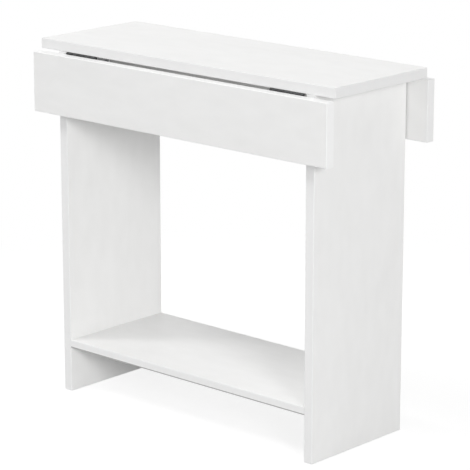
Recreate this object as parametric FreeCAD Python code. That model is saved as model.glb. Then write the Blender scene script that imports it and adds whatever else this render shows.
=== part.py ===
import FreeCAD, Part
import math
import os

V = FreeCAD.Vector

# Driving dimensions of the table, in millimetres. X runs along the table, the front leaf is at -Y,
# and the origin is on the floor below the middle of the top.
TOP_LENGTH = 600.0
TOP_DEPTH = 210.0
OPEN_DEPTH = 402.0          # over both raised leaves
HEIGHT = 570.0
BOARD = 16.0                # top, leaves, side panels and stretcher
SHELF_BOARD = 13.0
SHELF_TOP = 86.0            # height of the shelf's upper face
END_OVERHANG = 38.0         # top past the outer faces of the side panels
PANEL_RECESS = 0.5          # side panel's edges behind the edges of the top
STRETCHER_HEIGHT = 70.0
ARRIS = 1.2                 # eased edge of every board

# Leaf joint, seen along the table: the hinge pin is in the plane of the top's edge, below its underside.
HINGE_DROP = 2.0
LEAF_GAP = 1.0              # between a raised leaf and the top
HINGE_LENGTH = 64.0
HINGE_INSET = 4.0           # from a side panel's inner face to the hinge
FLAP_WIDTH = 27.0
FLAP = 0.8
FLAP_CORNER = 3.0
KNUCKLES = 5
KNUCKLE_RADIUS = 1.7
KNUCKLE_PLAY = 0.3
PIN_RADIUS = 0.9
PIN_HEAD_RADIUS = 1.6
PIN_HEAD = 1.2
PIN_TAIL = 0.8              # past the last knuckle
RUNNING_PLAY = 0.05         # radial clearance of a pin or rivet that turns

# Slotted stay that holds a raised leaf. Its stud on the side panel and its pivot on the leaf are equally far
# from the hinge pin, so the arm turns half as far as the leaf and its slot always lies over the stud.
STAY_RADIUS = 48.0
STUD_ANGLE = 240.0          # from outward, towards up, about the hinge pin
PIVOT_ANGLE = 260.0         # the same, with the leaf hanging
LEAF_TURN = 90.0
STEEL = 1.5                 # thickness of the arm, its bracket and the stud plate
STAY_PLAY = 0.3
ARM_HALF_WIDTH = 7.0
STUD_RADIUS = 2.5
STUD_HEAD_RADIUS = 4.2
STUD_HEAD = 1.2
RIVET_TAIL = 0.9            # formed head beside the side panel
SLOT_SPARE = 1.0            # slot past the stud at each end of its travel
NOTCH_DEPTH = 2.6           # the raised arm drops onto the stud by this much
LOBE_RADIUS = 8.6           # end of the arm round the notch
PLATE_RADIUS = 8.0
PLATE_HALF_LENGTH = 14.0    # from the stud to each screw
BRACKET_HALF_WIDTH = 8.0
BRACKET_FOOT = 28.0
BRACKET_CORNER = 4.0
BEND_RADIUS = 1.0           # inside of the bracket's bend
BRACKET_SCREWS = (10.0, 21.0)

# Soft pads on the leaf, which meet the side panels' edges when it hangs.
BUMPER_RADIUS = 5.0
BUMPER_TIP_RADIUS = 4.0
BUMPER = 2.2
BUMPER_DROP = 82.0          # below the hinge pin

# Countersunk wood screw.
SCREW_HEAD_RADIUS = 3.0
SCREW_RADIUS = 1.6
SCREW_LENGTH = 12.0
SCREW_TIP = 2.5
DRIVE_LENGTH = 3.4
DRIVE_WIDTH = 0.8
DRIVE_DEPTH = 1.0
HINGE_SCREWS = ((-22.0, 11.0), (0.0, 20.0), (22.0, 11.0))   # along the hinge, away from its pin

# Cam fittings and dowels that join the boards.
SEAT = 0.05                 # radial clearance of a fixed fastener in its hole
CAM_RADIUS = 7.4
SHELF_CAM_RADIUS = 5.9
CAM_HEIGHT = 12.0
SHELF_CAM_HEIGHT = 10.0
CAM_SLOT = (8.0, 1.4, 2.0)  # length, width and depth of the driver's slot
CAM_REACH = 34.0            # from the end of a board to the cam's axis
SHELF_CAM_REACH = 24.0
BOLT_HEAD_RADIUS = 2.5
BOLT_NECK_RADIUS = 1.5
BOLT_RADIUS = 3.0
BOLT_HEAD = 1.6
BOLT_NECK = 8.4
THREAD_RADIUS = 2.2
THREAD_LENGTH = 10.0
DOWEL_RADIUS = 4.0
SHELF_DOWEL_RADIUS = 3.0
DOWEL_SHORT = 10.0          # in the face of a board
DOWEL_LONG = 20.0           # in the end of a board
DOWEL_CHAMFER = 0.8
HOLE_SPARE = 0.5            # a blind hole past the end of its fastener
PANEL_CAM_Y = 50.0
PANEL_DOWEL_Y = 20.0
SHELF_CAM_Y = 70.0
SHELF_DOWEL_Y = 35.0
STRETCHER_CAM_DROP = 48.0   # below the top's underside
STRETCHER_DOWEL_DROP = 20.0
STRETCHER_TOP_DOWEL_X = 120.0

# Places that follow from the driving dimensions.
UNDERSIDE = HEIGHT - BOARD
EDGE_Y = TOP_DEPTH / 2
HINGE_Z = UNDERSIDE - HINGE_DROP
LEAF_WIDTH = (OPEN_DEPTH - TOP_DEPTH) / 2 - LEAF_GAP
PANEL_OUT = TOP_LENGTH / 2 - END_OVERHANG
PANEL_IN = PANEL_OUT - BOARD
PANEL_MID = PANEL_OUT - BOARD / 2
PANEL_Y = EDGE_Y - PANEL_RECESS
SHELF_MID = SHELF_TOP - SHELF_BOARD / 2
HINGE_OUT = PANEL_IN - HINGE_INSET
HINGE_MID = HINGE_OUT - HINGE_LENGTH / 2
ARM_OUT = PANEL_IN - STEEL - 2 * STAY_PLAY
ARM_IN = ARM_OUT - STEEL
EAR_OUT = ARM_IN - STAY_PLAY
EAR_IN = EAR_OUT - STEEL

NEAR = 0.1                  # an edge is picked by a point this close to its middle
ENDS = {"left": -1, "right": 1}
SIDES = {"front": -1, "back": 1}
X_AXIS = V(1, 0, 0)
Y_AXIS = V(0, 1, 0)
Z_AXIS = V(0, 0, 1)


# Shapes in common. A leaf joint is described at the back right corner: x along the table, u outwards from
# the hinge pin and w up from it. The other three corners are mirror images.

def at_hinge(x, u, w):
    return V(x, EDGE_Y + u, HINGE_Z + w)


def about_hinge(radius, angle):
    turn = math.radians(angle)
    return radius * math.cos(turn), radius * math.sin(turn)


def mirrored(shape, side, end):
    if side < 0:
        shape = shape.mirror(V(), Y_AXIS)
    if end < 0:
        shape = shape.mirror(V(), X_AXIS)
    return shape


def block(low, high):
    size = high - low
    return Part.makeBox(size.x, size.y, size.z, low)


def round_bar(radius, start, end):
    return Part.makeCylinder(radius, start.distanceToPoint(end), start, end - start)


def turned(outline):
    face = Part.Face(Part.makePolygon([V(r, 0, z) for r, z in outline + outline[:1]]))
    return face.revolve(V(), Z_AXIS, 360)


def placed(shape, position, direction):
    copy = shape.copy()
    copy.Placement = FreeCAD.Placement(position, FreeCAD.Rotation(Z_AXIS, direction))
    return copy


def eased(solid, radius, chosen):
    return solid.makeFillet(radius, [edge for edge in solid.Edges if chosen(edge.CenterOfMass)])


def strip(x_low, x_high, start, end, radius):
    """Flat bar with round ends, across the table, between two points given as (u, w)."""
    first = at_hinge(x_low, *start)
    last = at_hinge(x_low, *end)
    along = (last - first).normalize() * radius
    across = X_AXIS.cross(along)
    edges = [
        Part.LineSegment(first + across, last + across),
        Part.Arc(last + across, last + along, last - across),
        Part.LineSegment(last - across, first - across),
        Part.Arc(first - across, first - along, first + across),
    ]
    face = Part.Face(Part.Wire([edge.toShape() for edge in edges]))
    return face.extrude(X_AXIS * (x_high - x_low))


# Fasteners, each made at the origin with its working direction along +Z.

def screw_outline(spare, above):
    head = SCREW_HEAD_RADIUS + spare
    shank = SCREW_RADIUS + spare
    cone_end = SCREW_HEAD_RADIUS - SCREW_RADIUS
    tip = SCREW_LENGTH + spare
    return [(0, -above), (head + above, -above), (shank, cone_end), (shank, tip - SCREW_TIP), (0, tip)]


def screw():
    drive = V(DRIVE_LENGTH, DRIVE_WIDTH, 2 * DRIVE_DEPTH) / 2
    other = V(drive.y, drive.x, drive.z)
    return turned(screw_outline(0, 0)).cut([block(-drive, drive), block(-other, other)])


def screw_hole():
    return turned(screw_outline(SEAT, 1))


def cam_lock(radius, height, bolt_depth):
    """Cam with its face at the origin, slotted for the driver and bored from the rim for the bolt's head."""
    room = BOLT_HEAD_RADIUS + STAY_PLAY
    slot = V(*CAM_SLOT[:2], 2 * CAM_SLOT[2]) / 2
    bore = round_bar(room, V(-room, 0, bolt_depth), V(radius + 1, 0, bolt_depth))
    return Part.makeCylinder(radius, height).cut([bore, block(-slot, slot)])


def cam_bolt(reach):
    """Bolt from the cam's axis at the origin to its thread, which starts at the joint face."""
    tip = reach + THREAD_LENGTH
    return turned([
        (0, -BOLT_HEAD), (BOLT_HEAD_RADIUS, -BOLT_HEAD), (BOLT_HEAD_RADIUS, BOLT_HEAD),
        (BOLT_NECK_RADIUS, BOLT_HEAD), (BOLT_NECK_RADIUS, BOLT_NECK), (BOLT_RADIUS, BOLT_NECK),
        (BOLT_RADIUS, reach), (THREAD_RADIUS, reach), (THREAD_RADIUS, tip), (0, tip),
    ])


def cam_bolt_hole(reach):
    bore = Part.makeCylinder(BOLT_RADIUS + SEAT, reach)
    pilot = Part.makeCylinder(THREAD_RADIUS + SEAT, THREAD_LENGTH + HOLE_SPARE, Z_AXIS * reach)
    return bore.fuse(pilot)


def dowel(radius):
    """Dowel with the joint face at the origin and its short end along +Z."""
    flat = radius - DOWEL_CHAMFER
    return turned([
        (0, -DOWEL_LONG), (flat, -DOWEL_LONG), (radius, DOWEL_CHAMFER - DOWEL_LONG),
        (radius, DOWEL_SHORT - DOWEL_CHAMFER), (flat, DOWEL_SHORT), (0, DOWEL_SHORT),
    ])


def dowel_hole(radius):
    spare = Z_AXIS * HOLE_SPARE
    return round_bar(radius + SEAT, -Z_AXIS * DOWEL_LONG - spare, Z_AXIS * DOWEL_SHORT + spare)


# Places of the fasteners, as (position, direction) pairs.

def other_end(vector):
    return V(-vector.x, vector.y, vector.z)


def both_ends(position, direction):
    return [(position, direction), (other_end(position), other_end(direction))]


def four_ways(x, y, z, direction):
    return both_ends(V(x, y, z), direction) + both_ends(V(x, -y, z), direction)


PANEL_CAMS = four_ways(PANEL_IN, PANEL_CAM_Y, UNDERSIDE - CAM_REACH, X_AXIS)
PANEL_BOLTS = four_ways(PANEL_MID, PANEL_CAM_Y, UNDERSIDE - CAM_REACH, Z_AXIS)
PANEL_DOWELS = four_ways(PANEL_MID, PANEL_DOWEL_Y, UNDERSIDE, Z_AXIS)
SHELF_CAMS = four_ways(PANEL_IN - SHELF_CAM_REACH, SHELF_CAM_Y, SHELF_TOP - SHELF_BOARD, Z_AXIS)
SHELF_BOLTS = four_ways(PANEL_IN - SHELF_CAM_REACH, SHELF_CAM_Y, SHELF_MID, X_AXIS)
SHELF_DOWELS = four_ways(PANEL_IN, SHELF_DOWEL_Y, SHELF_MID, X_AXIS)
STRETCHER_CAM = V(PANEL_IN - CAM_REACH, 0, UNDERSIDE - STRETCHER_CAM_DROP)
STRETCHER_CAMS = both_ends(STRETCHER_CAM + Y_AXIS * BOARD / 2, -Y_AXIS)
STRETCHER_BOLTS = both_ends(STRETCHER_CAM, X_AXIS)
STRETCHER_DOWELS = (both_ends(V(PANEL_IN, 0, UNDERSIDE - STRETCHER_DOWEL_DROP), X_AXIS)
                    + both_ends(V(STRETCHER_TOP_DOWEL_X, 0, UNDERSIDE), Z_AXIS))


def flap_screw_places(hanging):
    face = HINGE_DROP - FLAP
    if hanging:
        return [(at_hinge(HINGE_MID + x, face, -away), Y_AXIS) for x, away in HINGE_SCREWS]
    return [(at_hinge(HINGE_MID + x, -away, face), Z_AXIS) for x, away in HINGE_SCREWS]


def plate_screw_places():
    u, w = about_hinge(STAY_RADIUS, STUD_ANGLE)
    return [(at_hinge(PANEL_IN - STEEL, u, w + i * PLATE_HALF_LENGTH), X_AXIS) for i in (-1, 1)]


def bracket_screw_places():
    w = about_hinge(STAY_RADIUS, PIVOT_ANGLE)[1]
    return [(at_hinge(EAR_OUT - x, HINGE_DROP - STEEL, w), Y_AXIS) for x in BRACKET_SCREWS]


def group(shape, places):
    return Part.Compound([placed(shape, *place) for place in places])


def every_corner(shapes, sides=(-1, 1)):
    return [mirrored(shape, side, end) for shape in shapes for side in sides for end in (-1, 1)]


def drilled(board, holes):
    """Board with every hole that reaches it cut out."""
    return board.cut([hole for hole in holes if hole.BoundBox.intersect(board.BoundBox)])


def joint_holes():
    """All holes for cams, bolts and dowels, through whichever boards they meet."""
    kinds = [
        (Part.makeCylinder(CAM_RADIUS + SEAT, CAM_HEIGHT + HOLE_SPARE), PANEL_CAMS + STRETCHER_CAMS),
        (Part.makeCylinder(SHELF_CAM_RADIUS + SEAT, SHELF_CAM_HEIGHT + HOLE_SPARE), SHELF_CAMS),
        (cam_bolt_hole(CAM_REACH), PANEL_BOLTS + STRETCHER_BOLTS),
        (cam_bolt_hole(SHELF_CAM_REACH), SHELF_BOLTS),
        (dowel_hole(DOWEL_RADIUS), PANEL_DOWELS + STRETCHER_DOWELS),
        (dowel_hole(SHELF_DOWEL_RADIUS), SHELF_DOWELS),
    ]
    return [placed(hole, *place) for hole, places in kinds for place in places]


# Boards.

def table_top(holes):
    half = TOP_LENGTH / 2
    solid = block(V(-half, -EDGE_Y, UNDERSIDE), V(half, EDGE_Y, HEIGHT))
    return drilled(eased(solid, ARRIS, lambda c: True), holes)


def side_panel(end, holes):
    low, high = sorted((end * PANEL_IN, end * PANEL_OUT))
    solid = block(V(low, -PANEL_Y, 0), V(high, PANEL_Y, UNDERSIDE))
    return drilled(eased(solid, ARRIS, lambda c: c.z < UNDERSIDE - 1), holes)


def lower_shelf(holes):
    solid = block(V(-PANEL_IN, -PANEL_Y, SHELF_TOP - SHELF_BOARD), V(PANEL_IN, PANEL_Y, SHELF_TOP))
    return drilled(eased(solid, ARRIS, lambda c: abs(c.x) < 1), holes)


def stretcher_rail(holes):
    low = UNDERSIDE - STRETCHER_HEIGHT
    solid = block(V(-PANEL_IN, -BOARD / 2, low), V(PANEL_IN, BOARD / 2, UNDERSIDE))
    return drilled(eased(solid, ARRIS, lambda c: abs(c.x) < 1 and c.z < low + 1), holes)


def leaf_board(side, holes):
    half = TOP_LENGTH / 2
    low = at_hinge(-half, HINGE_DROP, -LEAF_GAP - LEAF_WIDTH)
    high = at_hinge(half, HINGE_DROP + BOARD, -LEAF_GAP)
    return drilled(mirrored(eased(block(low, high), ARRIS, lambda c: True), side, 1), holes)


# Hinges.

def knuckle_spans(first):
    """Ends along x of every second knuckle, counted from first."""
    pitch = (HINGE_LENGTH + KNUCKLE_PLAY) / KNUCKLES
    start = HINGE_OUT - HINGE_LENGTH
    return [(start + i * pitch, start + (i + 1) * pitch - KNUCKLE_PLAY) for i in range(first, KNUCKLES, 2)]


def flap_block(x_low, x_high, near, far, hanging):
    """Stretch of a flap's plate between two distances from the pin."""
    thickness = (HINGE_DROP - FLAP, HINGE_DROP)
    u, w = (thickness, (-far, -near)) if hanging else ((-far, -near), thickness)
    return block(at_hinge(x_low, u[0], w[0]), at_hinge(x_high, u[1], w[1]))


def hinge_flap(hanging):
    """Screwed plate with rolled knuckles: the fixed one lies under the top, the other hangs on the leaf."""
    spans = knuckle_spans(1 if hanging else 0)
    clear = KNUCKLE_RADIUS + KNUCKLE_PLAY
    plate = flap_block(HINGE_OUT - HINGE_LENGTH, HINGE_OUT, clear, FLAP_WIDTH, hanging)

    def is_far_corner(c):
        away = HINGE_Z - c.z if hanging else EDGE_Y - c.y
        return abs(c.x - HINGE_MID) > HINGE_LENGTH / 2 - 1 and abs(away - FLAP_WIDTH) < NEAR

    plate = eased(plate, FLAP_CORNER, is_far_corner)
    tongues = [flap_block(low, high, PIN_RADIUS / 2, clear, hanging) for low, high in spans]
    rolls = [round_bar(KNUCKLE_RADIUS, at_hinge(low, 0, 0), at_hinge(high, 0, 0)) for low, high in spans]
    bore = round_bar(PIN_RADIUS + RUNNING_PLAY, at_hinge(0, 0, 0), at_hinge(TOP_LENGTH, 0, 0))
    holes = [placed(screw_hole(), *place) for place in flap_screw_places(hanging)]
    return plate.fuse(tongues + rolls).removeSplitter().cut([bore] + holes)


def hinge_pin(head_outside):
    """Pin with its head at the end of the hinge beside the side panel, or at the other end."""
    start, along = (HINGE_OUT, -X_AXIS) if head_outside else (HINGE_OUT - HINGE_LENGTH, X_AXIS)
    tip = HINGE_LENGTH + PIN_TAIL
    outline = [
        (0, -PIN_HEAD), (PIN_RADIUS, -PIN_HEAD), (PIN_HEAD_RADIUS, -PIN_HEAD / 2), (PIN_HEAD_RADIUS, 0),
        (PIN_RADIUS, 0), (PIN_RADIUS, tip), (0, tip),
    ]
    return placed(turned(outline), at_hinge(start, 0, 0), along)


# Stays.

def stud_plate():
    u, w = about_hinge(STAY_RADIUS, STUD_ANGLE)
    low, high = w - PLATE_HALF_LENGTH, w + PLATE_HALF_LENGTH
    plate = strip(PANEL_IN - STEEL, PANEL_IN, (u, low), (u, high), PLATE_RADIUS)
    seat = round_bar(STUD_RADIUS + SEAT, at_hinge(0, u, w), at_hinge(TOP_LENGTH, u, w))
    return plate.cut([seat] + [placed(screw_hole(), *place) for place in plate_screw_places()])


def stud():
    """Stud riveted into its plate, with a head that keeps the arm on."""
    neck = PANEL_IN - EAR_OUT
    outline = [
        (0, 0), (STUD_RADIUS, 0), (STUD_RADIUS, neck), (STUD_HEAD_RADIUS, neck),
        (STUD_HEAD_RADIUS, neck + STUD_HEAD / 2), (STUD_RADIUS, neck + STUD_HEAD), (0, neck + STUD_HEAD),
    ]
    return placed(turned(outline), at_hinge(PANEL_IN, *about_hinge(STAY_RADIUS, STUD_ANGLE)), -X_AXIS)


def stay_arm():
    """Slotted arm, pivoted on the leaf's bracket, with a notch at the raised end of its slot."""
    pivot = V(*about_hinge(STAY_RADIUS, PIVOT_ANGLE))
    stud_at = V(*about_hinge(STAY_RADIUS, STUD_ANGLE))
    along = (stud_at - pivot).normalize()
    across = V(along.y, -along.x)
    spread = math.radians(PIVOT_ANGLE - STUD_ANGLE)
    folded = 2 * STAY_RADIUS * math.sin(spread / 2)
    raised = 2 * STAY_RADIUS * math.sin((spread + math.radians(LEAF_TURN)) / 2)

    def uw(distance, offset=0.0):
        point = pivot + along * distance + across * offset
        return point.x, point.y

    def cut_strip(start, end):
        return strip(ARM_IN - 1, ARM_OUT + 1, start, end, STUD_RADIUS + STAY_PLAY)

    far = raised + SLOT_SPARE
    body = strip(ARM_IN, ARM_OUT, uw(0), uw(far), ARM_HALF_WIDTH)
    lobe_at = uw(far, NOTCH_DEPTH / 2)
    lobe = round_bar(LOBE_RADIUS, at_hinge(ARM_IN, *lobe_at), at_hinge(ARM_OUT, *lobe_at))
    eye = round_bar(STUD_RADIUS + RUNNING_PLAY, at_hinge(ARM_IN - 1, *uw(0)), at_hinge(ARM_OUT + 1, *uw(0)))
    slot = cut_strip(uw(folded - SLOT_SPARE), uw(far))
    notch = cut_strip(uw(far), uw(far, NOTCH_DEPTH))
    return body.fuse(lobe).removeSplitter().cut([eye, slot, notch])


def stay_bracket():
    """Bent strip on the leaf's inner face, with an ear that carries the arm's pivot."""
    pivot_u, pivot_w = about_hinge(STAY_RADIUS, PIVOT_ANGLE)
    tip = pivot_u - BRACKET_HALF_WIDTH
    face = HINGE_DROP - STEEL
    foot_end = EAR_OUT - BRACKET_FOOT
    outline = [
        (EAR_OUT, tip), (EAR_OUT, HINGE_DROP), (foot_end, HINGE_DROP),
        (foot_end, face), (EAR_IN, face), (EAR_IN, tip),
    ]
    wire = Part.makePolygon([at_hinge(x, u, pivot_w - BRACKET_HALF_WIDTH) for x, u in outline + outline[:1]])
    bent = Part.Face(wire).extrude(Z_AXIS * 2 * BRACKET_HALF_WIDTH)
    inner_bend = at_hinge(EAR_IN, face, pivot_w)
    outer_bend = at_hinge(EAR_OUT, HINGE_DROP, pivot_w)
    foot_edge = at_hinge(foot_end, (face + HINGE_DROP) / 2, pivot_w)
    bent = eased(bent, BEND_RADIUS, lambda c: c.distanceToPoint(inner_bend) < NEAR)
    bent = eased(bent, BEND_RADIUS + STEEL, lambda c: c.distanceToPoint(outer_bend) < NEAR)
    bent = eased(bent, BRACKET_CORNER,
                 lambda c: abs(c.distanceToPoint(foot_edge) - BRACKET_HALF_WIDTH) < NEAR)
    past_leaf = (HINGE_DROP + BRACKET_HALF_WIDTH, pivot_w)
    bent = bent.common(strip(foot_end, EAR_OUT, (pivot_u, pivot_w), past_leaf, BRACKET_HALF_WIDTH))
    eye_ends = [at_hinge(x, pivot_u, pivot_w) for x in (EAR_IN - 1, EAR_OUT + 1)]
    eye = round_bar(STUD_RADIUS + SEAT, *eye_ends)
    return bent.cut([eye] + [placed(screw_hole(), *place) for place in bracket_screw_places()])


def stay_rivet():
    """Rivet through the bracket's ear and the arm, headed on both sides."""
    grip = ARM_OUT + STAY_PLAY - EAR_IN
    tail = grip + RIVET_TAIL
    outline = [
        (0, -STUD_HEAD), (STUD_RADIUS, -STUD_HEAD), (STUD_HEAD_RADIUS, -STUD_HEAD / 2),
        (STUD_HEAD_RADIUS, 0), (STUD_RADIUS, 0), (STUD_RADIUS, grip), (STUD_HEAD_RADIUS, grip),
        (STUD_HEAD_RADIUS, grip + RIVET_TAIL / 2), (STUD_RADIUS, tail), (0, tail),
    ]
    return placed(turned(outline), at_hinge(EAR_IN, *about_hinge(STAY_RADIUS, PIVOT_ANGLE)), X_AXIS)


def bumper_pad():
    outline = [
        (0, 0), (BUMPER_RADIUS, 0), (BUMPER_RADIUS, BUMPER / 2), (BUMPER_TIP_RADIUS, BUMPER), (0, BUMPER),
    ]
    return placed(turned(outline), at_hinge(PANEL_MID, HINGE_DROP, -BUMPER_DROP), -Y_AXIS)


# Assembly.

def frame_nodes():
    fixed_screws = [placed(screw(), *place) for place in flap_screw_places(False)]
    plate_screws = [placed(screw(), *place) for place in plate_screw_places()]
    screw_holes = [placed(screw_hole(), *place) for place in flap_screw_places(False) + plate_screw_places()]
    holes = joint_holes() + every_corner(screw_holes)
    nodes = {
        "table_top": table_top(holes),
        "lower_shelf": lower_shelf(holes),
        "stretcher_rail": stretcher_rail(holes),
        "panel_cam_bolts": group(cam_bolt(CAM_REACH), PANEL_BOLTS),
        "shelf_cam_bolts": group(cam_bolt(SHELF_CAM_REACH), SHELF_BOLTS),
        "stretcher_cam_bolts": group(cam_bolt(CAM_REACH), STRETCHER_BOLTS),
        "panel_dowels": group(dowel(DOWEL_RADIUS), PANEL_DOWELS),
        "shelf_dowels": group(dowel(SHELF_DOWEL_RADIUS), SHELF_DOWELS),
        "stretcher_dowels": group(dowel(DOWEL_RADIUS), STRETCHER_DOWELS),
        "hinge_top_screws": Part.Compound(every_corner(fixed_screws)),
        "stay_plate_screws": Part.Compound(every_corner(plate_screws)),
        "stay_studs": Part.Compound(every_corner([stud()])),
    }
    for end_name, end in ENDS.items():
        nodes[f"{end_name}_side_panel"] = side_panel(end, holes)
    nodes.update(cam_nodes())
    return nodes


def cam_nodes():
    """Cams, turned so that the bore in the rim faces the bolt."""
    big = cam_lock(CAM_RADIUS, CAM_HEIGHT, BOARD / 2)
    small = cam_lock(SHELF_CAM_RADIUS, SHELF_CAM_HEIGHT, SHELF_BOARD / 2)
    kinds = {
        "panel_cam_locks": (big, PANEL_CAMS, PANEL_BOLTS),
        "shelf_cam_locks": (small, SHELF_CAMS, SHELF_BOLTS),
        "stretcher_cam_locks": (big, STRETCHER_CAMS, STRETCHER_BOLTS),
    }
    nodes = {}
    for name, (cam, cams, bolts) in kinds.items():
        solids = []
        for (position, inward), (_, towards_bolt) in zip(cams, bolts):
            turn = FreeCAD.Rotation(towards_bolt, V(), inward, "ZXY")
            copy = cam.copy()
            copy.Placement = FreeCAD.Placement(position, turn)
            solids.append(copy)
        nodes[name] = Part.Compound(solids)
    return nodes


def corner_nodes():
    """Hinge and stay pieces of which every corner has its own.

    The stays are left and right handed. The hinges are four alike: seen from outside the table, each has the
    head of its pin at its right end.
    """
    kinds = {
        "hinge_fixed_flap": hinge_flap(False),
        "hinge_leaf_flap": hinge_flap(True),
        "stay_stud_plate": stud_plate(),
        "stay_arm": stay_arm(),
        "stay_bracket": stay_bracket(),
    }
    nodes = {}
    for side_name, side in SIDES.items():
        for end_name, end in ENDS.items():
            corner = kinds | {"hinge_pin": hinge_pin(head_outside=side * end < 0)}
            for kind, shape in corner.items():
                nodes[f"{side_name}_{end_name}_{kind}"] = mirrored(shape, side, end)
    return nodes


def leaf_nodes():
    hinge_screws = [placed(screw(), *place) for place in flap_screw_places(True)]
    bracket_screws = [placed(screw(), *place) for place in bracket_screw_places()]
    screw_holes = [placed(screw_hole(), *place) for place in flap_screw_places(True) + bracket_screw_places()]
    nodes = {}
    for side_name, side in SIDES.items():
        nodes[f"{side_name}_leaf_board"] = leaf_board(side, every_corner(screw_holes, (side,)))
        nodes[f"{side_name}_leaf_hinge_screws"] = Part.Compound(every_corner(hinge_screws, (side,)))
        nodes[f"{side_name}_leaf_bracket_screws"] = Part.Compound(every_corner(bracket_screws, (side,)))
        nodes[f"{side_name}_leaf_stay_rivets"] = Part.Compound(every_corner([stay_rivet()], (side,)))
        nodes[f"{side_name}_leaf_bumper_pads"] = Part.Compound(every_corner([bumper_pad()], (side,)))
    return nodes


os.makedirs("parts", exist_ok=True)
for node, shape in {**frame_nodes(), **corner_nodes(), **leaf_nodes()}.items():
    shape.exportStep(f"parts/{node}.step")
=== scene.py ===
import math

import bpy
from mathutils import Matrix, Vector


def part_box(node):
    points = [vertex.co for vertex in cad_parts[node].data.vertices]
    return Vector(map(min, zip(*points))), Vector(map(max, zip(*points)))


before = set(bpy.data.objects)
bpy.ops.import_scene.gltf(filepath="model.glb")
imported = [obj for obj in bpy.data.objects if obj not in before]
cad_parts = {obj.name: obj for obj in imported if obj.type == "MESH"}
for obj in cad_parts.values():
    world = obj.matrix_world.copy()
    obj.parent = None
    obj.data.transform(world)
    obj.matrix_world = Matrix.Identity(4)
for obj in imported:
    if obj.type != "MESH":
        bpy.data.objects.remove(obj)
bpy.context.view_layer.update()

# Camera, fitted to the table's edges in the photograph. Pixels of a square image, degrees and metres.
IMAGE_PX = 470
FOCAL_PX = 2378.4
YAW = 42.28                 # round from looking along +Y
PITCH = 14.79               # below the horizon
DISTANCE = 3.6761
AIM_RIGHT = 0.0105          # aim point beside and above the origin
AIM_HEIGHT = 0.2832
SENSOR_MM = 36.0
CLIP_END = 100.0

# Light and floor, in metres.
AMBIENT = 0.38              # world's strength for what it lights; what is seen of it has strength 1
LAMP_AIM = (0.0, 0.0, 0.35)
LAMPS = (
    # name, position, width, power in watts, whether it shows in gloss
    ("key_lamp", (-1.3, -2.7, 5.8), 2.6, 92.0, True),
    ("left_lamp", (-3.0, -2.5, 4.2), 0.9, 55.0, True),
    ("top_lamp", (0.2, -0.2, 3.2), 2.4, 7.0, True),
    ("right_lamp", (5.4, -3.0, 2.1), 1.6, 180.0, False),
    ("rear_lamp", (-2.4, 1.9, 1.0), 1.8, 13.0, False),
    ("back_lamp", (0.4, 3.8, 0.6), 1.6, 30.0, False),
)
FLOOR_HALF = 14.0
FLOOR_DROP = 0.0003         # below the feet
FLOOR_COLOUR = (0.62, 0.62, 0.62, 1)        # for the light that it throws back
FLOOR_SEEN_COLOUR = (0.30, 0.30, 0.30, 1)   # for what is seen of it, with the glow that brings it to white
FLOOR_SEEN_GLOW = 0.79
FLOOR_NEAR = 0.55           # the table's shadow shows up to here, and fades out at the second distance
FLOOR_FAR = 1.10

# Boards: node, then its grain's axis, the axes across which its edges are banded (0 is X, 1 is Y, 2 is Z),
# the lightness of its faces against FACE_DARK and FACE_LIGHT, and the band's lightness; both carry painted
# light and shade.
BOARDS = {
    # painted light and shade: the band is set darker on the top and back leaf and lighter on the front leaf,
    # as light falls on their edges
    "table_top": (0, (0, 1), 1.0, 0.845),
    "front_leaf_board": (0, (0, 2), 1.0, 0.945),
    "back_leaf_board": (0, (0, 2), 1.0, 0.885),
    "left_side_panel": (2, (1, 2), 1.0, 0.910),
    "right_side_panel": (2, (1, 2), 1.0, 0.910),
    "lower_shelf": (0, (1,), 1.0, 0.910),
    # painted shade: the rail's faces and band are drawn darker, for the shade of the cavity it is seen in
    "stretcher_rail": (0, (2,), 0.72, 0.660),
}
FACE_DARK = Vector((0.884, 0.883, 0.876))
FACE_LIGHT = Vector((0.918, 0.917, 0.911))
FACE_ROUGH = (0.36, 0.50)
GRAIN = 0.40                # how closely the faint patches repeat along the grain, where across it is 1
PATTERN_SHIFT = 7.3         # times a board's corner, so that no two boards have the same patches
BAND = 0.0013               # thickness of the edge band, in metres
BAND_STEP = 0.006           # how much lighter or darker the band's patches are
BAND_WARMTH = 0.002         # taken off its blue
BAND_ROUGH = (0.30, 0.38)
BAND_RELIEF = 0.25          # depth of the pearl texture on the band, where a face has 1
SEAM = 0.00009              # half width of the glue line behind the band
SEAM_COLOUR = (0.55, 0.54, 0.52, 1)
SEAM_STRENGTH = 0.55
SHADE_PAINTED_BOARD = "lower_shelf"  # its lower front arris gets a painted shade strip, a dark grey line standing in for the shade under it
SHADE_PAINTED_FULL = 0.0016          # height of the painted shade strip, and where it has faded out
SHADE_PAINTED_END = 0.0026
SHADE_PAINTED_COLOUR = (0.40, 0.40, 0.395, 1)
RUB_FULL = 0.0006           # distance from an arris up to which it is rubbed, and where that has faded out
RUB_END = 0.0020
RUB_COLOUR = (0.70, 0.69, 0.67, 1)
RUB_STRENGTH = 0.12

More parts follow.
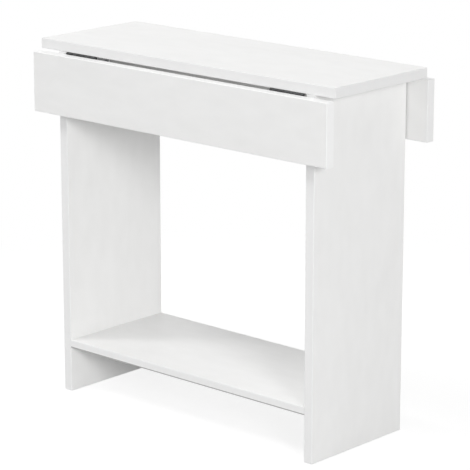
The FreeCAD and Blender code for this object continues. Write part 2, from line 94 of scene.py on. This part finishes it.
# Fittings, with linear colours.
LACQUER_DARK = (0.014, 0.014, 0.015, 1)
LACQUER_WORN = (0.050, 0.050, 0.052, 1)
LACQUER_ROUGH = (0.32, 0.46)
BARE_STEEL = (0.36, 0.36, 0.37, 1)
BARE_SMOOTHER = -0.02       # added to the roughness where the steel is bare
ZINC = {
    # material: stretch along X, Y and Z, darker and lighter plating, and the roughness of each
    "zinc_screw": ((1, 1, 1), (0.46, 0.47, 0.49, 1), (0.70, 0.71, 0.73, 1), (0.42, 0.29)),
    "zinc_sheet": ((1, 0.15, 1), (0.52, 0.53, 0.55, 1), (0.68, 0.69, 0.71, 1), (0.44, 0.30)),
    "zinc_casting": ((1, 1, 1), (0.36, 0.36, 0.37, 1), (0.50, 0.50, 0.51, 1), (0.58, 0.42)),
}
ZINC_CLOUD = 0.7            # share of the plating's clouds in its tone; the drawn lines have the rest
ZINC_DRAWN = 0.3
TURNED_PIECES = ("screws", "bolts", "studs", "rivets")
BEECH_DARK = (0.50, 0.33, 0.19, 1)
BEECH_LIGHT = (0.68, 0.50, 0.33, 1)
BEECH_FLECK = (0.36, 0.22, 0.12, 1)
BEECH_ROUGH = (0.52, 0.7)
PAD_DARK = (0.74, 0.74, 0.72, 1)
PAD_LIGHT = (0.83, 0.83, 0.81, 1)
PAD_ROUGH = (0.62, 0.8)

# Ranges for remap, and the colour sockets of a mix node.
UP = (0.0, 1.0)
DOWN = (1.0, 0.0)
USUAL = (0.3, 0.7)          # what most of a noise lies between
MIX_FIRST = 6
MIX_SECOND = 7
MIX_RESULT = 2


# Node trees.

def add(tree, kind, inputs=None, **settings):
    """Add a node; an input is either a value or the socket to link to it."""
    node = tree.nodes.new(kind)
    for key, value in settings.items():
        setattr(node, key, value)
    for key, value in (inputs or {}).items():
        if isinstance(value, bpy.types.NodeSocket):
            tree.links.new(value, node.inputs[key])
        else:
            node.inputs[key].default_value = value
    return node


def maths(tree, operation, *values):
    return add(tree, "ShaderNodeMath", dict(enumerate(values)), operation=operation).outputs[0]


def vector_maths(tree, operation, *values):
    return add(tree, "ShaderNodeVectorMath", dict(enumerate(values)), operation=operation).outputs


def remap(tree, value, span, to, smooth=False):
    """Carry a range of values over to another one, and hold its ends outside it."""
    inputs = {"Value": value, "From Min": span[0], "From Max": span[1], "To Min": to[0], "To Max": to[1]}
    interpolation = "SMOOTHSTEP" if smooth else "LINEAR"
    return add(tree, "ShaderNodeMapRange", inputs, interpolation_type=interpolation).outputs["Result"]


def blended(tree, factor, first, second):
    inputs = {"Factor": factor, MIX_FIRST: first, MIX_SECOND: second}
    return add(tree, "ShaderNodeMix", inputs, data_type="RGBA").outputs[MIX_RESULT]


def place(tree, stretch=(1, 1, 1), shift=(0, 0, 0)):
    """Position on the piece in metres, in the frame it was drawn in, so that it moves with the piece."""
    coordinates = add(tree, "ShaderNodeTexCoord").outputs["Object"]
    mapping = add(tree, "ShaderNodeMapping", {"Vector": coordinates, "Location": shift, "Scale": stretch})
    return mapping.outputs["Vector"]


def noise(tree, where, scale, detail=2.0, roughness=0.5):
    inputs = {"Vector": where, "Scale": scale, "Detail": detail, "Roughness": roughness}
    return add(tree, "ShaderNodeTexNoise", inputs).outputs["Fac"]


def bump(tree, height, strength, distance):
    inputs = {"Height": height, "Strength": strength, "Distance": distance}
    return add(tree, "ShaderNodeBump", inputs).outputs["Normal"]


def new_material(name):
    material = bpy.data.materials.new(name)
    material.use_nodes = True
    tree = material.node_tree
    return material, tree, tree.nodes["Principled BSDF"]


def connect(tree, shader, **sockets):
    for key, value in sockets.items():
        tree.links.new(value, shader.inputs[key.replace("_", " ")])


# Materials.

def depths(tree, node):
    """Distances in from the nearest side of a board, along X, Y and Z."""
    low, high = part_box(node)
    middle, half = (low + high) / 2, (high - low) / 2
    from_middle = vector_maths(tree, "SUBTRACT", place(tree), middle)[0]
    size = vector_maths(tree, "ABSOLUTE", from_middle)[0]
    inside = vector_maths(tree, "SUBTRACT", half, size)[0]
    return add(tree, "ShaderNodeSeparateXYZ", {0: inside}).outputs


def edge_distance(tree, inside, axes):
    """Distance in from the nearest banded edge of a board."""
    distance = inside[axes[0]]
    for axis in axes[1:]:
        distance = maths(tree, "MINIMUM", distance, inside[axis])
    return distance


def arris_distance(tree, inside):
    """Distance from the nearest arris of a board: the middle one of the three depths."""
    smaller = maths(tree, "MINIMUM", inside[0], inside[1])
    larger = maths(tree, "MAXIMUM", inside[0], inside[1])
    return maths(tree, "MAXIMUM", smaller, maths(tree, "MINIMUM", larger, inside[2]))


def band_colour(tone):
    return (tone, tone, tone - BAND_WARMTH, 1)


def board_material(node, grain, axes, face_tone_with_painted_shade, band_tone_with_painted_light):
    """White melamine board: pearl texture and faint grain on the faces, a smoother edge band, a glue line."""
    material, tree, shader = new_material(f"{node}_melamine")
    inside = depths(tree, node)
    distance = edge_distance(tree, inside, axes)
    band = remap(tree, distance, (BAND - SEAM, BAND + SEAM), DOWN, smooth=True)
    from_seam = maths(tree, "ABSOLUTE", maths(tree, "SUBTRACT", distance, BAND))
    seam = remap(tree, from_seam, (0.0, SEAM), DOWN, smooth=True)
    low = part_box(node)[0]
    shift = low * PATTERN_SHIFT
    stretch = [GRAIN if axis == grain else 1.0 for axis in range(3)]
    where = place(tree, shift=shift)
    drawn = place(tree, stretch=stretch, shift=shift)
    cloud = noise(tree, drawn, scale=7.0, detail=3.0)
    fibres = noise(tree, drawn, scale=55.0, detail=3.0)
    handled = noise(tree, where, scale=26.0, detail=5.0, roughness=0.62)
    pearl = noise(tree, where, scale=1500.0)
    scuff = noise(tree, where, scale=420.0, detail=4.0, roughness=0.7)

    patches = remap(tree, maths(tree, "ADD", cloud, fibres), (0.7, 1.3), UP)
    # the face and band tones from BOARDS hold painted shade on the rail and painted light and shade on the
    # bands
    face = blended(tree, patches, (*FACE_DARK * face_tone_with_painted_shade, 1), (*FACE_LIGHT * face_tone_with_painted_shade, 1))
    edge = blended(tree, patches, band_colour(band_tone_with_painted_light - BAND_STEP), band_colour(band_tone_with_painted_light + BAND_STEP))
    colour = blended(tree, band, face, edge)
    # painted shade: a dark strip along the lower arris of the shelf's front band
    if node == SHADE_PAINTED_BOARD:
        height = add(tree, "ShaderNodeSeparateXYZ", {0: place(tree)}).outputs[2]
        painted_shade_strip = remap(tree, height, (low.z + SHADE_PAINTED_FULL, low.z + SHADE_PAINTED_END), DOWN, smooth=True)
        colour = blended(tree, maths(tree, "MULTIPLY", painted_shade_strip, band), colour, SHADE_PAINTED_COLOUR)
    near_arris = remap(tree, arris_distance(tree, inside), (RUB_FULL, RUB_END), DOWN, smooth=True)
    scuffed = remap(tree, scuff, (0.60, 0.72), (0.0, RUB_STRENGTH), smooth=True)
    colour = blended(tree, maths(tree, "MULTIPLY", near_arris, scuffed), colour, RUB_COLOUR)
    colour = blended(tree, maths(tree, "MULTIPLY", seam, SEAM_STRENGTH), colour, SEAM_COLOUR)

    face_rough = remap(tree, handled, USUAL, FACE_ROUGH)
    band_rough = remap(tree, handled, USUAL, BAND_ROUGH)
    rough = remap(tree, band, UP, (face_rough, band_rough))
    texture = maths(tree, "MULTIPLY", pearl, remap(tree, band, UP, (1.0, BAND_RELIEF)))
    relief = maths(tree, "SUBTRACT", texture, seam)
    connect(tree, shader, Base_Color=colour, Roughness=rough,
            Normal=bump(tree, relief, strength=0.10, distance=0.00008))
    return material


def lacquer_material():
    """Black satin lacquer on hinge steel, rubbed through to the metal in small spots."""
    material, tree, shader = new_material("black_hinge_lacquer")
    cloud = noise(tree, place(tree), scale=90.0, detail=4.0)
    skin = noise(tree, place(tree), scale=2600.0)
    chips = noise(tree, place(tree, stretch=(0.6, 1, 1)), scale=620.0, detail=5.0, roughness=0.7)
    bare = remap(tree, chips, (0.70, 0.74), UP, smooth=True)
    worn = remap(tree, cloud, (0.42, 0.66), UP, smooth=True)
    lacquer = blended(tree, worn, LACQUER_DARK, LACQUER_WORN)
    colour = blended(tree, bare, lacquer, BARE_STEEL)
    smoother = maths(tree, "MULTIPLY", bare, BARE_SMOOTHER)
    rough = maths(tree, "ADD", remap(tree, cloud, USUAL, LACQUER_ROUGH), smoother)
    connect(tree, shader, Base_Color=colour, Roughness=rough, Metallic=bare,
            Normal=bump(tree, skin, strength=0.18, distance=0.00005))
    return material


def zinc_material(name, stretch, dark, light, roughness):
    """Zinc-plated steel, drawn along the piece, with cloudy plating."""
    material, tree, shader = new_material(name)
    drawn = noise(tree, place(tree, stretch=stretch), scale=1400.0, detail=3.0, roughness=0.6)
    cloud = noise(tree, place(tree), scale=160.0, detail=4.0, roughness=0.6)
    cloud_share = maths(tree, "MULTIPLY", cloud, ZINC_CLOUD)
    tone = maths(tree, "ADD", cloud_share, maths(tree, "MULTIPLY", drawn, ZINC_DRAWN))
    colour = blended(tree, remap(tree, tone, (0.35, 0.65), UP), dark, light)
    connect(tree, shader, Base_Color=colour, Roughness=remap(tree, tone, USUAL, roughness),
            Normal=bump(tree, drawn, strength=0.16, distance=0.00006))
    shader.inputs["Metallic"].default_value = 1.0
    return material


def beech_material():
    """Beech dowel: pale grain with short darker flecks."""
    material, tree, shader = new_material("beech")
    grain = noise(tree, place(tree, stretch=(1, 1, 0.12)), scale=700.0, detail=4.0)
    flecks = noise(tree, place(tree, stretch=(1, 1, 0.3)), scale=1900.0, detail=1.0)
    wood = blended(tree, remap(tree, grain, USUAL, UP), BEECH_DARK, BEECH_LIGHT)
    colour = blended(tree, remap(tree, flecks, (0.62, 0.72), (0.0, 0.6)), wood, BEECH_FLECK)
    connect(tree, shader, Base_Color=colour, Roughness=remap(tree, grain, USUAL, BEECH_ROUGH),
            Normal=bump(tree, grain, strength=0.3, distance=0.0001))
    return material


def pad_material():
    """Soft white pad, a little dusty."""
    material, tree, shader = new_material("soft_pad")
    cloud = noise(tree, place(tree), scale=420.0, detail=4.0)
    skin = noise(tree, place(tree), scale=2400.0)
    colour = blended(tree, remap(tree, cloud, USUAL, UP), PAD_DARK, PAD_LIGHT)
    connect(tree, shader, Base_Color=colour, Roughness=remap(tree, cloud, USUAL, PAD_ROUGH),
            Normal=bump(tree, skin, strength=0.25, distance=0.00008))
    return material


def give(node, material):
    node.data.materials.clear()
    node.data.materials.append(material)


def dress_nodes():
    lacquer = lacquer_material()
    zinc = {name: zinc_material(name, *values) for name, values in ZINC.items()}
    beech = beech_material()
    pad = pad_material()
    for name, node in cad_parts.items():
        if name in BOARDS:
            give(node, board_material(name, *BOARDS[name]))
        elif "dowels" in name:
            give(node, beech)
        elif "bumper" in name:
            give(node, pad)
        elif "cam_locks" in name:
            give(node, zinc["zinc_casting"])
        elif any(word in name for word in TURNED_PIECES):
            give(node, zinc["zinc_screw"])
        elif "stay" in name:
            give(node, zinc["zinc_sheet"])
        else:
            give(node, lacquer)


# Studio.

def seen_directly(tree):
    """1 for what the camera sees straight, in a reflection or through glass, otherwise 0."""
    path = add(tree, "ShaderNodeLightPath").outputs
    mirrored = maths(tree, "MAXIMUM", path["Is Camera Ray"], path["Is Glossy Ray"])
    return maths(tree, "MAXIMUM", mirrored, path["Is Transmission Ray"])


def make_world():
    world = bpy.data.worlds.new("studio")
    world.use_nodes = True
    tree = world.node_tree
    background = tree.nodes["Background"]
    background.inputs["Color"].default_value = (1, 1, 1, 1)
    strength = remap(tree, seen_directly(tree), UP, (AMBIENT, 1.0))
    tree.links.new(strength, background.inputs["Strength"])
    bpy.context.scene.world = world


def make_floor():
    """Pale floor that looks white and keeps the table's shadow near it. From below it is clear."""
    mesh = bpy.data.meshes.new("floor")
    corners = [(x * FLOOR_HALF, y * FLOOR_HALF, -FLOOR_DROP) for x, y in ((-1, -1), (1, -1), (1, 1), (-1, 1))]
    mesh.from_pydata(corners, [], [(0, 1, 2, 3)])
    floor = bpy.data.objects.new("floor", mesh)
    bpy.context.scene.collection.objects.link(floor)
    material, tree, shader = new_material("floor")
    tree.nodes.remove(shader)
    lit = add(tree, "ShaderNodeBsdfDiffuse", {"Color": FLOOR_COLOUR}).outputs[0]
    shade = add(tree, "ShaderNodeBsdfDiffuse", {"Color": FLOOR_SEEN_COLOUR}).outputs[0]
    glow = add(tree, "ShaderNodeEmission", {"Strength": FLOOR_SEEN_GLOW}).outputs[0]
    near = add(tree, "ShaderNodeAddShader", {0: shade, 1: glow}).outputs[0]
    white = add(tree, "ShaderNodeEmission", {"Strength": 1.0}).outputs[0]
    reach = vector_maths(tree, "LENGTH", place(tree))["Value"]
    away = remap(tree, reach, (FLOOR_NEAR, FLOOR_FAR), UP, smooth=True)
    seen = add(tree, "ShaderNodeMixShader", {0: away, 1: near, 2: white}).outputs[0]
    above = add(tree, "ShaderNodeMixShader", {0: seen_directly(tree), 1: lit, 2: seen}).outputs[0]
    clear = add(tree, "ShaderNodeBsdfTransparent").outputs[0]
    below = add(tree, "ShaderNodeNewGeometry").outputs["Backfacing"]
    surface = add(tree, "ShaderNodeMixShader", {0: below, 1: above, 2: clear}).outputs[0]
    tree.links.new(surface, tree.nodes["Material Output"].inputs["Surface"])
    give(floor, material)


def make_lamps():
    for name, position, width, power, in_gloss in LAMPS:
        data = bpy.data.lights.new(name, "AREA")
        data.shape = "SQUARE"
        data.size = width
        data.energy = power
        lamp = bpy.data.objects.new(name, data)
        lamp.location = position
        lamp.rotation_euler = (Vector(LAMP_AIM) - Vector(position)).to_track_quat("-Z", "Y").to_euler()
        lamp.visible_camera = False
        lamp.visible_glossy = in_gloss
        bpy.context.scene.collection.objects.link(lamp)


def make_camera():
    data = bpy.data.cameras.new("camera")
    data.sensor_width = SENSOR_MM
    data.lens = FOCAL_PX / IMAGE_PX * SENSOR_MM
    data.clip_end = CLIP_END
    yaw, pitch = math.radians(YAW), math.radians(PITCH)
    forward = Vector((-math.sin(yaw) * math.cos(pitch), math.cos(yaw) * math.cos(pitch), -math.sin(pitch)))
    right = Vector((math.cos(yaw), math.sin(yaw), 0))
    camera = bpy.data.objects.new("camera", data)
    camera.location = right * AIM_RIGHT + Vector((0, 0, AIM_HEIGHT)) - forward * DISTANCE
    camera.rotation_euler = (math.radians(90) - pitch, 0, yaw)
    bpy.context.scene.collection.objects.link(camera)
    bpy.context.scene.camera = camera


dress_nodes()
make_world()
make_floor()
make_lamps()
make_camera()
bpy.context.scene.view_settings.view_transform = "Standard"
